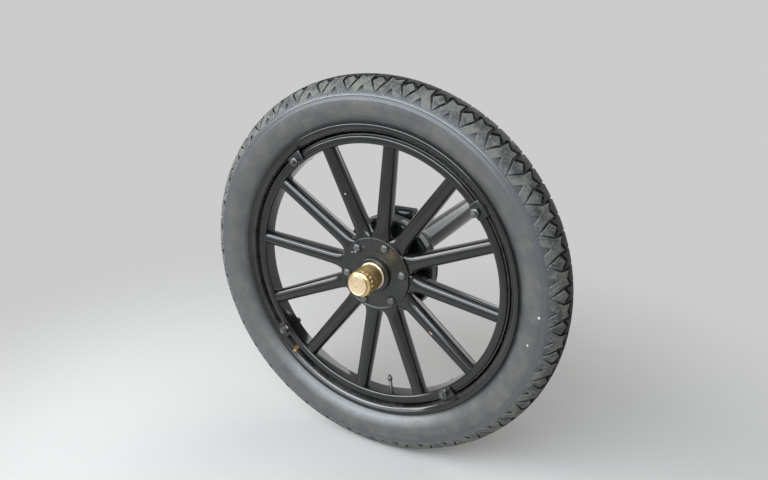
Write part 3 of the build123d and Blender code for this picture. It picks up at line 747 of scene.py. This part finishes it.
def other_side(shape, angle):
    """A copy on the wheel's other side, turned by an angle in degrees."""
    twin = shape.copy()
    bmesh.ops.scale(twin, vec=(1, -1, 1), verts=twin.verts)
    bmesh.ops.reverse_faces(twin, faces=twin.faces)
    turn_by(twin, -radians(angle))
    return twin


class WHEEL_OT_tyre(bpy.types.Operator):
    """Make the tyre: the carcass with its moulded lines, the tread blocks and the toothed rib"""
    bl_idname = "wheel.tyre"
    bl_label = "Tyre"

    def execute(self, context):
        sizes = context.scene.wheel_tyre
        depth = sizes.groove_depth * METRE
        chamfer = sizes.block_chamfer * METRE
        pitch = 360.0 / sizes.pitches
        half = []
        lifts = [(distance, -depth * share) for distance, share in GROOVED]
        for distance, lift in lifts + MOULDED + [(distance, 0.0) for distance in PLAIN_WALL]:
            radius, y, outward = tyre_outside(distance)
            half.append((radius + outward.x * lift, y + outward.y * lift))
        half += CASING_INSIDE
        section = half + [(radius, -y) for radius, y in reversed(half) if y > NEAR]
        carcass = turned([(radius, y, 0) for radius, y in section], ROUND_STEPS)
        wheel_object("tyre_carcass", carcass, "tyre", "tyre_rubber", sharp=60.0)

        raised = depth + BLOCK_ROOT
        kite = tread_shape(KITE_BLOCK, raised, chamfer, *KITE_CUTS)
        arrow = tread_shape(ARROW_BLOCK, raised, chamfer, *ARROW_CUTS)
        blocks = []
        for shape, angle in ((kite, FIRST_KITE), (arrow, FIRST_KITE + pitch / 2)):
            bend_onto_tyre(shape, raised)
            put(shape, 0.0, angle)
            repeat_round(shape, sizes.pitches)
            blocks += [other_side(shape, pitch / 2), shape]
        wheel_object("tyre_tread_blocks", join(blocks), "tyre", "tyre_rubber", BLOCK_FINISHES, sharp=30.0)

        stretch = (TYRE_RADIUS * radians(pitch) / 2) / RIB_END
        outline = [(u * stretch, t) for u, t in RIB_BLOCK]
        rib = tread_shape(outline, raised, chamfer, *RIB_CUTS, open_end=RIB_END * stretch)
        bend_onto_tyre(rib, raised)
        put(rib, 0.0, FIRST_KITE)
        repeat_round(rib, sizes.pitches)
        bmesh.ops.remove_doubles(rib, verts=rib.verts, dist=WELD)
        wheel_object("tyre_tread_rib", rib, "tyre", "tyre_rubber", RIB_FINISHES, sharp=30.0)
        return {"FINISHED"}


# Rim, felloe and band

# Sections about the axle, here and below. Columns: radius, y, rounding
RIM_SIDE = [
    (287.4, 20.0, 1.0), (288.8, 26.4, 3.4), (296.2, 32.2, 3.6), (299.5, 33.0, 2.0), (303.5, 33.0, 1.7),
    (305.5, 29.5, 1.4), (303.9, 26.5, 0.5), (301.5, 28.0, 0.7), (299.0, 30.0, 1.4), (292.0, 18.0, 3.5),
]
RIM_SECTION = RIM_SIDE + [(radius, -y, rounding) for radius, y, rounding in reversed(RIM_SIDE)]
FELLOE_SECTION = [
    (FELLOE_INSIDE, -23.5, 6.0), (FELLOE_OUTSIDE, -23.5, 4.0), (FELLOE_OUTSIDE, 14.0, 3.0),
    (FELLOE_INSIDE, 14.0, 5.0),
]
BAND_SECTION = [
    (FELLOE_OUTSIDE, -19.0, 0.4), (283.0, -19.0, 0.6), (283.0, 11.5, 2.0), (289.0, 16.0, 0.5),
    (289.0, 18.0, 0.5), (FELLOE_OUTSIDE, 18.0, 0.5),
]


class WHEEL_OT_rim(bpy.types.Operator):
    """Make the rolled rim, the wooden felloe and the steel band between them"""
    bl_idname = "wheel.rim"
    bl_label = "Rim and Felloe"

    def execute(self, context):
        turned_pieces([
            ("rolled_rim", "rim", RIM_SECTION, "rim_paint", "wheel", ROUND_STEPS, 4),
            ("wood_felloe", "felloe", FELLOE_SECTION, "painted_wood", "wheel", ROUND_STEPS, 5),
            ("steel_band", "felloe_band", BAND_SECTION, "rim_paint", "wheel", ROUND_STEPS, 2),
        ])
        return {"FINISHED"}


# Spokes

# Stations along a spoke. Columns: radius from the axle, width, depth along Y, squareness (2 is an oval)
SPOKE_STATIONS = [
    (60.0, 31.9, 38.0, 12.0), (72.0, 38.4, 38.0, 9.0), (77.0, 41.0, 38.0, 7.0), (79.5, 40.6, 37.8, 4.6),
    (82.0, 38.4, 37.4, 3.7), (85.0, 36.7, 37.0, 3.2), (89.0, 35.2, 36.6, 2.8), (94.0, 34.0, 36.3, 2.5),
    (100.0, 33.1, 36.0, 2.35), (108.0, 32.4, 36.0, 2.3), (130.0, 31.9, 35.5, 2.3), (165.0, 31.1, 34.7, 2.3),
    (200.0, 30.2, 33.8, 2.3), (235.0, 29.3, 32.8, 2.3), (258.0, 28.7, 32.2, 2.3), (266.0, 28.5, 32.0, 2.3),
]
# Where a spoke's middle lies along Y at the hub, and the radius beyond which it leans outward
HUB_MIDDLE = 10.5
DISHED_FROM = 78.0


def spoke_blade():
    """One spoke along +X, drawn out station by station from a circle. Past the hub it leans to the felloe."""
    shape = bmesh.new()
    angle = shape.verts.layers.float.new("angle")
    ring = bmesh.ops.create_circle(shape, cap_ends=True, segments=36, radius=1.0)["verts"]
    for vert in ring:
        vert[angle] = atan2(vert.co.y, vert.co.x)
    edges = shape.edges[:]
    for radius, width, depth, squareness in SPOKE_STATIONS:
        if radius != SPOKE_STATIONS[0][0]:
            drawn = bmesh.ops.extrude_edge_only(shape, edges=edges)
            ring = points(drawn)
            edges = [item for item in drawn["geom"] if isinstance(item, bmesh.types.BMEdge)
                     and all(vert in ring for vert in item.verts)]
        lean = max(0.0, radius - DISHED_FROM) / (FELLOE_INSIDE - DISHED_FROM)
        middle = HUB_MIDDLE + (FELLOE_MIDDLE - HUB_MIDDLE) * lean
        for vert in ring:
            across, along = cos(vert[angle]), sin(vert[angle])
            power = 2.0 / squareness
            y = abs(across) ** power * (1 if across > 0 else -1) * depth / 2
            z = abs(along) ** power * (1 if along > 0 else -1) * width / 2
            vert.co = (radius, middle + y, z)
    bmesh.ops.contextual_create(shape, geom=edges)
    return shape


class WHEEL_OT_spokes(bpy.types.Operator):
    """Make the twelve wooden spokes"""
    bl_idname = "wheel.spokes"
    bl_label = "Spokes"

    def execute(self, context):
        for number in range(SPOKES):
            blade = put(spoke_blade(), 0.0, FIRST_SPOKE + SPOKE_STEP * number)
            node = f"spoke_{number + 1:02d}"
            wheel_object(f"wood_{node}", blade, node, "painted_wood", sharp=50.0)
        return {"FINISHED"}


# Hub, plate, bolts and cap

HUB_SECTION = [
    (13.5, -36.0, 0.4), (22.5, -36.0, 0.4), (22.5, -22.0, 0), (34.0, -22.0, 0.6), (36.0, -20.0, 1.2),
    (36.0, 29.5, 0), (76.5, 29.5, 0.6), (76.5, 36.0, 0.8), (13.5, 36.0, 0.4),
]
PLATE_SECTION = [
    (36.0, -14.5, 0.3), (42.0, -14.5, 2.0), (49.0, -12.9, 4.0), (71.0, -12.9, 1.6), (73.0, -14.5, 0.9),
    (76.5, -14.5, 1.5), (76.5, -8.5, 0.5), (36.0, -8.5, 0.3),
]
BOLT_HEAD = [(0.0, -18.6, 0), (5.2, -18.3, 2.5), (8.6, -15.8, 2.2), (9.3, -12.9, 0), (0.0, -12.7, 0)]
BOLT_SWELL = 0.06
# The shank's radius, its two ends along Y and its easing, and the turns of the heads in radians
BOLT_SHANK = (4.75, -13.0, 51.0, 0.4)
FIRST_BOLT_TURN = 0.6
BOLT_TURN_STEP = 0.9


def swell(shape, amount):
    """Swell a round shape a little toward a square, seen along Y."""
    for vert in shape.verts:
        angle = atan2(vert.co.z, vert.co.x)
        grown = 1.0 + amount * (0.5 - 0.5 * cos(4.0 * angle))
        vert.co.x *= grown
        vert.co.z *= grown


class WHEEL_OT_hub(bpy.types.Operator):
    """Make the hub, its front plate and the bolts through the spokes"""
    bl_idname = "wheel.hub"
    bl_label = "Hub"

    def execute(self, context):
        turned_pieces([
            ("hub_barrel", "hub", HUB_SECTION, "hub_paint", "wheel", 96, 3),
            ("front_plate", "hub_plate", PLATE_SECTION, "hub_paint", "wheel", 120, 4),
        ])
        for number in range(HUB_BOLTS):
            head = turned(BOLT_HEAD, 32, 3)
            swell(head, BOLT_SWELL)
            turn_by(head, FIRST_BOLT_TURN + number * BOLT_TURN_STEP)
            bolt = join([head, bar(*BOLT_SHANK)])
            put(bolt, BOLT_CIRCLE, FIRST_BOLT + 360.0 / HUB_BOLTS * number)
            wheel_object(f"plate_bolt_{number + 1}", bolt, f"hub_bolt_{number + 1}", "bolt_paint", sharp=50.0)
        return {"FINISHED"}


CAP_RADIUS = 27.4
CAP_SECTION = [
    (22.5, -22.0, 0), (27.6, -22.0, 0.5), (28.2, -22.6, 0.4), (28.2, -24.6, 0.8), (26.6, -25.6, 0.6),
    (25.6, -26.6, 0.5), (26.5, -37.0, 12.0), (27.0, -48.5, 7.0), (26.2, -55.6, 1.2), (26.6, -56.6, 0.6),
    (CAP_RADIUS, -59.0, 2.0), (CAP_RADIUS, -68.0, 6.0), (24.6, -73.8, 3.0), (21.0, -75.4, 1.0),
    (20.5, -76.0, 0.4), (20.5, -79.6, 0.9), (19.6, -80.5, 0.6), (18.4, -80.4, 0.5), (17.9, -79.9, 0.4),
    (0.0, -79.9, 0), (0.0, -70.5, 0), (18.5, -70.5, 0), (18.5, -36.0, 0), (22.5, -36.0, 0),
]
# The grip's flats: how far out they stand, how much of the round they take, and where along Y they run out
CAP_FLATS = CAP_RADIUS * 0.96
FLATTENING = 0.12
GRIP_BACK = -56.8
GRIP_FRONT = -74.0
BACK_RUN_OUT = 4.0
FRONT_RUN_OUT = 5.0


class WHEEL_OT_cap(bpy.types.Operator):
    """Make the brass hub cap with its six faint flats"""
    bl_idname = "wheel.cap"
    bl_label = "Hub Cap"

    def execute(self, context):
        cap = turned(CAP_SECTION, 144)
        for vert in cap.verts:
            radius = vert.co.xz.length
            y = vert.co.y
            inside = min(1.0, (GRIP_BACK - y) / BACK_RUN_OUT, (y - GRIP_FRONT) / FRONT_RUN_OUT)
            if inside > 0.0 and radius > CAP_FLATS:
                off = (atan2(vert.co.z, vert.co.x) + pi / 6) % (pi / 3) - pi / 6
                over = max(0.0, radius - CAP_FLATS / cos(off))
                scale = (radius - over * FLATTENING * inside) / radius
                vert.co.x *= scale
                vert.co.z *= scale
        wheel_object("brass_cap", cap, "hub_cap", "cap_brass", sharp=30.0)
        return {"FINISHED"}


# Lugs, their bolts and nuts, and the valve

# Outline of a lug. Columns: radius, y
LUG_SECTION = [
    (265.6, -26.6), (267.6, -29.4), (282.0, -29.4), (286.4, -28.4), (289.2, -26.0), (288.6, -20.0),
    (286.6, -10.0), (283.2, -10.0), (283.2, -23.5), (266.0, -23.5),
]
LUG_WIDTH = 34.0
LUG_EASING = 2.6
# The nut's width across flats, its two ends along Y and its chamfer, and the radians from one nut to the next
LUG_NUT = (16.4, -39.0, -29.0, 1.3)
NUT_TURN_STEP = 0.4
# The bolt's shank and head. Columns: radius, the two ends along Y, easing
LUG_BOLT = [(4.75, -44.5, 14.0, 0.9), (7.5, 14.0, 19.0, 1.5)]


def lug_shape():
    """A wedge that curves with the rim, with its edges rounded off."""
    shape = bmesh.new()
    shape.faces.new([shape.verts.new((radius, y, 0.0)) for radius, y in LUG_SECTION])
    spread = LUG_WIDTH / FELLOE_OUTSIDE
    bmesh.ops.spin(shape, geom=whole(shape), cent=(0, 0, 0), axis=(0, 1, 0), angle=-spread, steps=8,
                   use_duplicate=False)
    bmesh.ops.recalc_face_normals(shape, faces=shape.faces)
    turn_by(shape, spread / 2)
    ease(shape, edges_over(shape, 18.0), LUG_EASING, segments=4)
    return shape


class WHEEL_OT_lugs(bpy.types.Operator):
    """Make the four wedge lugs that hold the rim, with their bolts and nuts"""
    bl_idname = "wheel.lugs"
    bl_label = "Rim Lugs"

    def execute(self, context):
        for number in range(LUGS):
            angle = FIRST_LUG + 360.0 / LUGS * number
            lug = put(lug_shape(), 0.0, angle)
            wheel_object(f"wedge_lug_{number + 1}", lug, f"rim_lug_{number + 1}", "lug_paint", sharp=45.0)
            nut = hexagon(*LUG_NUT)
            turn_by(nut, number * NUT_TURN_STEP)
            put(nut, LUG_CIRCLE, angle)
            wheel_object(f"rim_nut_{number + 1}", nut, f"lug_nut_{number + 1}", "nut_steel", sharp=40.0)
            bolt = put(join([bar(*part) for part in LUG_BOLT]), LUG_CIRCLE, angle)
            wheel_object(f"rim_bolt_{number + 1}", bolt, f"lug_bolt_{number + 1}", "bolt_paint", sharp=40.0)
        return {"FINISHED"}


VALVE_ANGLE = 277.8
THREADS = 9
FIRST_THREAD = 241.0
THREAD_PITCH = 1.2
# Sections of the valve, which stands along the wheel's radius. Columns: its own radius, place, rounding
VALVE_STEM = [(0.0, 240.0, 0), (3.6, 240.0, 0.3)]
for thread in range(THREADS):
    crest = FIRST_THREAD + thread * THREAD_PITCH
    VALVE_STEM += [(3.9, crest, 0), (3.5, crest + THREAD_PITCH / 2, 0)]
VALVE_STEM += [(3.9, 252.0, 0), (3.9, 292.0, 0.2), (0.0, 292.0, 0)]
VALVE_CAP = [
    (0.0, 228.0, 0), (3.4, 228.0, 0.8), (3.4, 231.0, 0.4), (5.0, 232.5, 0.7), (5.0, 240.0, 0.5),
    (0.0, 240.0, 0),
]


class WHEEL_OT_valve(bpy.types.Operator):
    """Make the tyre valve's stem, its threads and its cap"""
    bl_idname = "wheel.valve"
    bl_label = "Valve"

    def execute(self, context):
        stand = Matrix.Rotation(-radians(VALVE_ANGLE), 4, "Y") @ Matrix.Translation((0, FELLOE_MIDDLE, 0))
        stand = stand @ Matrix.Rotation(-pi / 2, 4, "Z")
        for name, node, section, segments in (("valve_tube", "valve_stem", VALVE_STEM, 1),
                                              ("valve_top", "valve_cap", VALVE_CAP, 2)):
            shape = turned(section, 24, segments)
            bmesh.ops.transform(shape, matrix=stand, verts=shape.verts)
            wheel_object(name, shape, node, "valve_metal")
        return {"FINISHED"}


# Brake drum and axle end

DRUM_SECTION = [
    (33.5, 36.0, 0.4), (97.5, 36.0, 2.0), (102.5, 41.0, 3.0), (102.5, 60.0, 0.6), (104.0, 62.0, 0.6),
    (104.0, 66.0, 0.8), (98.5, 66.0, 0.8), (98.5, 40.0, 2.0), (33.5, 40.0, 0.4),
]
BACKING_SECTION = [
    (24.0, 71.0, 0.2), (82.0, 71.0, 1.0), (84.0, 71.6, 1.0), (92.0, 71.6, 1.0), (96.0, 71.0, 1.2),
    (96.0, 76.0, 0.8), (93.0, 76.0, 0.5), (93.0, 74.0, 1.0), (24.0, 74.0, 0.2),
]
HOUSING_SECTION = [
    (13.55, 52.0, 0.3), (24.0, 52.0, 0.8), (24.0, 74.0, 0), (58.0, 74.0, 0.4), (58.0, 83.0, 1.4),
    (39.0, 83.0, 5.0), (36.0, 88.0, 6.0), (33.0, 123.0, 8.0), (33.0, 182.0, 1.2), (36.0, 182.0, 0.8),
    (36.0, 191.0, 1.2), (26.5, 191.0, 0.2), (26.5, 136.0, 0), (22.5, 136.0, 0), (22.5, 112.0, 0),
    (13.55, 112.0, 0.3),
]
TUBE_SECTION = [
    (26.5, 136.0, 0), (26.5, 191.0, 0), (27.5, 191.0, 0.2), (27.5, 600.0, 0.8), (22.5, 600.0, 0.8),
    (22.5, 136.0, 0),
]


class WHEEL_OT_axle(bpy.types.Operator):
    """Make the brake drum, its backing plate, the housing and the tube"""
    bl_idname = "wheel.axle"
    bl_label = "Brake and Axle End"

    def execute(self, context):
        turned_pieces([
            ("drum_shell", "brake_drum", DRUM_SECTION, "drum_paint", "wheel", 144, 3),
            ("backing_disc", "backing_plate", BACKING_SECTION, "axle_paint", "axle_end", 96, 4),
            ("axle_housing", "housing_end", HOUSING_SECTION, "axle_paint", "axle_end", 96, 4),
            ("axle_outer_tube", "axle_tube", TUBE_SECTION, "axle_paint", "axle_end", 96, 4),
        ])
        return {"FINISHED"}


# Small fittings whose CAD form is kept and only eased. Columns: node, finish, easing, body
FITTINGS = [
    ("spring_perch", "axle_paint", 1.6, "axle_end"), ("brake_lever", "axle_paint", 0.9, "axle_end"),
    ("radius_rod_ear", "axle_paint", 1.2, "axle_end"), ("brake_cam_boss", "axle_paint", 1.0, "axle_end"),
    ("brake_cam_shaft", "shaft_steel", 0.4, "axle_end"), ("axle_shaft", "shaft_steel", 0.4, "wheel"),
]
FITTINGS += [(f"backing_bolt_{number}", "bolt_paint", 0.6, "axle_end") for number in range(1, 5)]
FITTINGS += [(f"hub_nut_{number}", "bolt_paint", 0.6, "wheel") for number in range(1, HUB_BOLTS + 1)]
FITTING_WELD = 0.002


class WHEEL_OT_fittings(bpy.types.Operator):
    """Ease the edges of the perch, lever, ear, shafts and nuts, and paint them"""
    bl_idname = "wheel.fittings"
    bl_label = "Fittings"

    def execute(self, context):
        for node, finish, easing, body in FITTINGS:
            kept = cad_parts[node]
            shape = bmesh.new()
            shape.from_mesh(kept.data)
            bmesh.ops.transform(shape, matrix=TO_FRAME.inverted() @ kept.matrix_world, verts=shape.verts)
            bmesh.ops.remove_doubles(shape, verts=shape.verts, dist=FITTING_WELD)
            bmesh.ops.dissolve_limit(shape, angle_limit=radians(1.0), verts=shape.verts, edges=shape.edges)
            ease(shape, edges_over(shape, 40.0), easing)
            wheel_object(f"eased_{node}", shape, node, finish, body=body, sharp=35.0)
        return {"FINISHED"}


# Stage

# Lamps. Columns: name, place from the wheel's centre, width, height, power, colour
LAMPS = [
    ("sky_low", (-0.9, -2.5, 1.05), 3.4, 1.5, 50.0, (0.85, 0.93, 1.0)),
    ("sky_front", (-0.3, -1.7, 2.1), 3.2, 1.5, 34.0, (0.85, 0.93, 1.0)),
    ("sky_strip", (-0.5, -2.1, 1.75), 3.4, 0.4, 56.0, (0.83, 0.92, 1.0)),
    ("key_left", (-2.5, -1.2, 1.6), 1.2, 1.2, 34.0, (1.0, 0.99, 0.97)),
    ("sky_above", (0.3, 0.8, 2.8), 3.2, 1.6, 14.0, (0.97, 0.985, 1.0)),
    ("sky_behind", (0.9, 2.9, 1.7), 3.0, 1.6, 40.0, (0.95, 0.975, 1.0)),
]
FLOOR_RADIUS = 90.0
FLOOR_GAP = 0.0005
# Distances from under the wheel between which the floor becomes the background
FLOOR_FADES = (0.55, 1.35)
# The photograph's focal length and width in its own pixels, and the width of the camera's sensor in mm
FOCAL_LENGTH = 688.0
PHOTO_WIDTH = 768.0
SENSOR = 36.0


def soft_lamp(name, place, width, height, power, colour):
    """A large soft lamp that shines at the wheel's centre."""
    data = bpy.data.lights.new(name, "AREA")
    data.shape = "RECTANGLE"
    data.size = width
    data.size_y = height
    data.energy = power
    data.color = colour
    lamp = placed(name, data)
    lamp.location = WHEEL_CENTRE + Vector(place)
    lamp.rotation_euler = (-Vector(place)).to_track_quat("-Z", "Y").to_euler()


def floor_finish(stage):
    """Pale matt floor that takes shadows near the wheel and becomes the plain background far from it."""
    finish = Finish("floor_pale", Specular_IOR_Level=0.25)
    fine = finish.noise(60.0, 4.0, 0.7)
    finish.feed("Base Color", finish.mix(fine, stage.floor, shaded(stage.floor, 0.965)))
    finish.feed("Roughness", 0.82 + (fine - 0.5) * 0.1)
    x, y, _ = finish.axes(finish.centred)
    far = finish.between((x * x + y * y) ** 0.5, *FLOOR_FADES) * finish.seen()
    glow = finish.add("ShaderNodeEmission", None, {"Color": (*stage.background, 1.0), "Strength": 1.0})
    matt = Value(finish, finish.shader.outputs[0])
    both = finish.add("ShaderNodeMixShader", None, {0: far, 1: matt, 2: glow})
    finish.link(both, finish.tree.nodes["Material Output"].inputs["Surface"])
    return finish.material


class WHEEL_OT_stage(bpy.types.Operator):
    """Make the floor, the soft lights and the camera"""
    bl_idname = "wheel.stage"
    bl_label = "Stage"

    def execute(self, context):
        stage = context.scene.wheel_stage
        shape = bmesh.new()
        bmesh.ops.create_circle(shape, cap_ends=True, segments=96, radius=FLOOR_RADIUS)
        bmesh.ops.translate(shape, verts=shape.verts, vec=(0, 0, -TYRE_RADIUS / METRE - FLOOR_GAP))
        mesh = bpy.data.meshes.new("floor")
        shape.to_mesh(mesh)
        shape.free()
        mesh.materials.append(floor_finish(stage))
        placed("floor", mesh)

        world = bpy.data.worlds.new("soft_sky")
        context.scene.world = world
        world.use_nodes = True
        sky = Nodes(world.node_tree)
        tone = sky.mix(sky.seen(), (0.12, 0.125, 0.13), stage.background)
        sky.link(tone, world.node_tree.nodes["Background"].inputs["Color"])

        for lamp in LAMPS:
            soft_lamp(*lamp)

        data = bpy.data.cameras.new("camera")
        data.sensor_width = SENSOR
        data.lens = FOCAL_LENGTH / PHOTO_WIDTH * SENSOR
        camera = placed("camera", data)
        azimuth, elevation = stage.azimuth, stage.elevation
        back = Vector((sin(azimuth) * cos(elevation), -cos(azimuth) * cos(elevation), sin(elevation)))
        right = Vector((cos(azimuth), sin(azimuth), 0.0))
        up = back.cross(right)
        camera.location = WHEEL_CENTRE + back * stage.distance
        aim = WHEEL_CENTRE + right * stage.aim_right + up * stage.aim_up
        camera.rotation_euler = (aim - camera.location).to_track_quat("-Z", "Y").to_euler()
        context.scene.camera = camera
        context.scene.view_settings.view_transform = "Standard"
        return {"FINISHED"}


class WHEEL_PT_panel(bpy.types.Panel):
    """Lists the wheel's settings and the operators that make its pieces"""
    bl_label = "Car Wheel"
    bl_idname = "WHEEL_PT_panel"
    bl_space_type = "VIEW_3D"
    bl_region_type = "UI"
    bl_category = "Car Wheel"

    def draw(self, context):
        for settings in SETTINGS:
            box = self.layout.box()
            group = getattr(context.scene, settings)
            for key in group.bl_rna.properties.keys():
                if key not in {"rna_type", "name"}:
                    box.prop(group, key)
        for operator in OPERATORS:
            self.layout.operator(operator.bl_idname)


OPERATORS = [
    WHEEL_OT_stage, WHEEL_OT_tyre, WHEEL_OT_rim, WHEEL_OT_spokes, WHEEL_OT_hub, WHEEL_OT_cap,
    WHEEL_OT_lugs, WHEEL_OT_valve, WHEEL_OT_axle, WHEEL_OT_fittings,
]
SETTINGS = {
    "wheel_tyre": WheelTyreSettings,
    "wheel_finish": WheelFinishSettings,
    "wheel_stage": WheelStageSettings,
}
CLASSES = [*SETTINGS.values(), *OPERATORS, WHEEL_PT_panel]


def register():
    for kind in CLASSES:
        bpy.utils.register_class(kind)
    for name, settings in SETTINGS.items():
        setattr(bpy.types.Scene, name, bpy.props.PointerProperty(type=settings))


def unregister():
    for name in SETTINGS:
        delattr(bpy.types.Scene, name)
    for kind in reversed(CLASSES):
        bpy.utils.unregister_class(kind)


def main():
    register()
    for operator in OPERATORS:
        group, name = operator.bl_idname.split(".")
        getattr(getattr(bpy.ops, group), name)()


if __name__ == "__main__":
    main()
